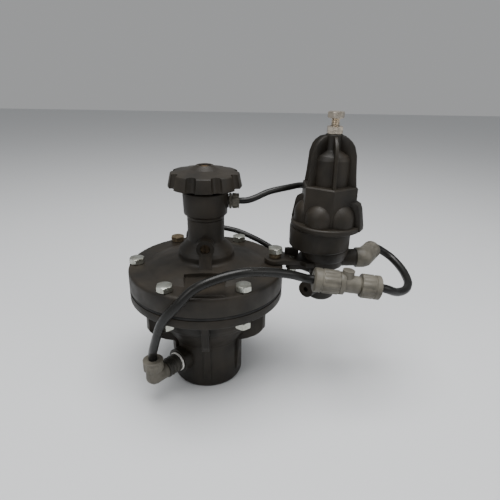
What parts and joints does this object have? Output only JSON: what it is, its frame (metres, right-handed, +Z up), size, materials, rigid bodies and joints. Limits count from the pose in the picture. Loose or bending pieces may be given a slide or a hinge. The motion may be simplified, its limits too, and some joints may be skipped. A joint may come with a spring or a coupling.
{
  "type": "pressure reducing valve",
  "caption": "Plastic angle pattern diaphragm valve with a limiting handwheel and an outside pilot, strainer and control tubes.",
  "frame": {"origin": "middle of the underside of the box around the whole part, level with the inlet's mouth", "axes": "+Z up along the stem of the main valve, +Y out of the outlet, +X from the main valve to the pilot"},
  "size_m": [0.2782, 0.1818, 0.2682],
  "materials": {
    "black_plastic": "satin",
    "grey_plastic": "satin",
    "dark_grey_plastic": "satin",
    "black_tube": "gloss",
    "rubber": "matte",
    "zinc_steel": "satin",
    "nickel_steel": "gloss",
    "rusty_steel": "matte",
    "stainless_steel": "satin",
    "brass": "satin",
    "dull_brass": "matte",
    "sealing_tape": "matte"
  },
  "bodies": {
    "housing": {"valve_body": "black_plastic", "bonnet": "black_plastic", "selector_collar": "black_plastic", "bracket": "black_plastic", "pilot_base": "black_plastic", "pilot_drum": "black_plastic", "pilot_bonnet": "black_plastic", "strainer_screen": "stainless_steel", "bleed_plug": "dull_brass", "bonnet_bolt_3": "rusty_steel", "bracket_spacer": "rusty_steel", "bonnet_bolt_1": "zinc_steel", "bonnet_bolt_2": "zinc_steel", "bonnet_bolt_4": "zinc_steel", "bonnet_bolt_5": "zinc_steel", "bonnet_bolt_6": "zinc_steel", "bonnet_nut_1": "zinc_steel", "bonnet_nut_2": "zinc_steel", "bonnet_nut_3": "zinc_steel", "bonnet_nut_4": "zinc_steel", "bonnet_nut_5": "zinc_steel", "bonnet_nut_6": "zinc_steel", "bracket_screw": "zinc_steel", "lock_nut": "nickel_steel", "tap_nipple": "dark_grey_plastic", "tap_tape": "sealing_tape", "tap_elbow": "grey_plastic", "tap_elbow_nut": "grey_plastic", "collar_fitting": "grey_plastic", "collar_nut": "grey_plastic", "pilot_elbow": "grey_plastic", "pilot_elbow_nut": "grey_plastic", "control_elbow": "grey_plastic", "control_nut": "grey_plastic", "sense_nut": "grey_plastic", "outlet_nipple": "grey_plastic", "outlet_nut": "grey_plastic", "strainer_body": "grey_plastic", "strainer_nut_left": "grey_plastic", "strainer_nut_right": "grey_plastic", "supply_tube": "black_tube", "loop_tube": "black_tube", "control_tube": "black_tube", "sensing_tube": "black_tube"},
    "closure": {"valve_stem": "stainless_steel", "closure_disc": "black_plastic", "seat_seal": "rubber", "diaphragm_plate": "stainless_steel", "diaphragm": "rubber", "main_spring": "stainless_steel"},
    "limit_foot": {"spindle_foot": "dull_brass"},
    "handwheel_set": {"handwheel": "black_plastic", "control_spindle": "stainless_steel", "handwheel_screw": "brass"},
    "pilot_button": {"spring_button": "stainless_steel", "pilot_spring": "stainless_steel"},
    "pressure_screw": {"adjusting_screw": "nickel_steel"},
    "spool_set": {"pilot_spool": "dull_brass", "spring_follower": "stainless_steel", "pilot_diaphragm": "rubber"}
  },
  "joints": [
    {"name": "closure_lift", "type": "slide", "parent": "housing", "child": "closure", "axis": [0, 0, 1], "range_m": [0, 0.008], "deforming": ["diaphragm", "main_spring"]},
    {"name": "spindle_travel", "type": "slide", "parent": "housing", "child": "limit_foot", "axis": [0, 0, 1], "range_m": [-0.0065, 0.004]},
    {"name": "handwheel_turn", "type": "hinge", "parent": "limit_foot", "child": "handwheel_set", "pos_m": [-0.06413, -0.00912, 0.2015], "axis": [0, 0, 1], "range_deg": [-585, 360]},
    {"name": "screw_travel", "type": "slide", "parent": "housing", "child": "pilot_button", "axis": [0, 0, 1], "range_m": [-0.005, 0.0025], "deforming": ["pilot_spring"]},
    {"name": "screw_turn", "type": "hinge", "parent": "pilot_button", "child": "pressure_screw", "pos_m": [0.05137, -0.00912, 0.2625], "axis": [0, 0, 1], "range_deg": [-1440, 720]},
    {"name": "spool_lift", "type": "slide", "parent": "housing", "child": "spool_set", "axis": [0, 0, 1], "range_m": [0, 0.0008], "deforming": ["pilot_diaphragm"]}
  ],
  "couplings": [
    {"joint": "handwheel_turn", "follows": "spindle_travel", "rad_per_m": 1570.8},
    {"joint": "screw_turn", "follows": "screw_travel", "rad_per_m": 5026.5}
  ]
}
